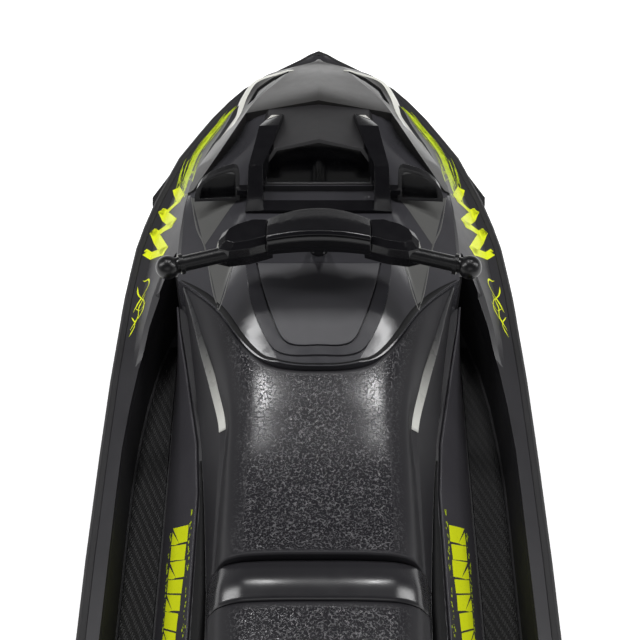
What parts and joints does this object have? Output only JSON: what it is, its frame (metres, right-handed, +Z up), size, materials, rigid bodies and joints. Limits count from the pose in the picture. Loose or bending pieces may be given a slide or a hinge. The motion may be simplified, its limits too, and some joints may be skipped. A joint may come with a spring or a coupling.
{
  "type": "radio-controlled personal watercraft model",
  "caption": "Scale model of a sit-down personal watercraft with turning handlebar and jet nozzle, spinning impeller and a lift-off seat over its battery bay.",
  "frame": {"origin": "on the waterline at mid-length, on the centreline", "axes": "+Y to the bow, +X to starboard, +Z up"},
  "size_m": [0.232, 0.6126, 0.198],
  "materials": {
    "hull_black": "moulded black hull",
    "deck_black": "satin black deck moulding",
    "rail_black": "soft black rail",
    "hood_grey": "satin dark grey",
    "cowl_grey": "satin dark grey",
    "lamp_black": "smoked lens",
    "gloss_black": "gloss black",
    "frame_black": "satin black",
    "mat_black": "woven black mat",
    "panel_grey": "satin dark grey with lime graphics",
    "seat_grain": "leather-grained dark grey",
    "seat_band": "smooth dark grey",
    "grip_black": "black grip",
    "jet_black": "black jet drive",
    "metal": "steel eye",
    "battery_grey": "battery pack",
    "motor_metal": "motor can"
  },
  "bodies": {
    "hull_body": {"hull": "hull_black", "deck": "deck_black", "footwell_tray_right": "deck_black", "footwell_tray_left": "deck_black", "bumper": "rail_black", "hood": "hood_grey", "headlamp_right": "lamp_black", "headlamp_left": "lamp_black", "cowl": "cowl_grey", "dash_panel": "hood_grey", "dash_display": "gloss_black", "console_frame": "frame_black", "console_lid": "cowl_grey", "mirror_right": "frame_black", "mirror_left": "frame_black", "mirror_glass_right": "gloss_black", "mirror_glass_left": "gloss_black", "footwell_mat_right": "mat_black", "footwell_mat_left": "mat_black", "side_panel_right": "panel_grey", "side_panel_left": "panel_grey", "spray_deflector_right": "rail_black", "spray_deflector_left": "rail_black", "sponson_right": "rail_black", "sponson_left": "rail_black", "stern_mat": "mat_black", "bow_eye": "metal", "stern_eye_right": "metal", "stern_eye_left": "metal", "intake_grate": "jet_black", "ride_plate": "jet_black", "battery": "battery_grey", "motor": "motor_metal", "jet_housing": "jet_black"},
    "handlebar": {"steering_column": "frame_black", "handlebar_pad": "frame_black", "handlebar_grip_right": "grip_black", "handlebar_grip_left": "grip_black", "control_pod_right": "frame_black", "control_pod_left": "frame_black"},
    "nozzle_body": {"steering_nozzle": "jet_black"},
    "impeller_body": {"impeller": "motor_metal"},
    "seat_body": {"seat_front": "seat_grain", "seat_bolster": "seat_band", "seat_rear": "seat_grain", "seat_pan": "frame_black"}
  },
  "joints": [
    {"name": "handlebar_steer", "type": "hinge", "parent": "hull_body", "child": "handlebar", "pos_m": [0, 0.0918, 0.1], "axis": [0, -0.4226, 0.9063], "range_deg": [-25, 25]},
    {"name": "nozzle_steer", "type": "hinge", "parent": "hull_body", "child": "nozzle_body", "pos_m": [0, -0.2672, -0.018], "axis": [0, 0, 1], "range_deg": [-20, 20]},
    {"name": "impeller_spin", "type": "hinge", "parent": "hull_body", "child": "impeller_body", "pos_m": [0, -0.2142, -0.018], "axis": [0, 1, 0], "continuous": true},
    {"name": "seat_lift", "type": "slide", "parent": "hull_body", "child": "seat_body", "axis": [0, -0.866, 0.5], "range_m": [0, 0.15]}
  ],
  "couplings": [
    {"joint": "nozzle_steer", "follows": "handlebar_steer", "ratio": -0.8}
  ]
}
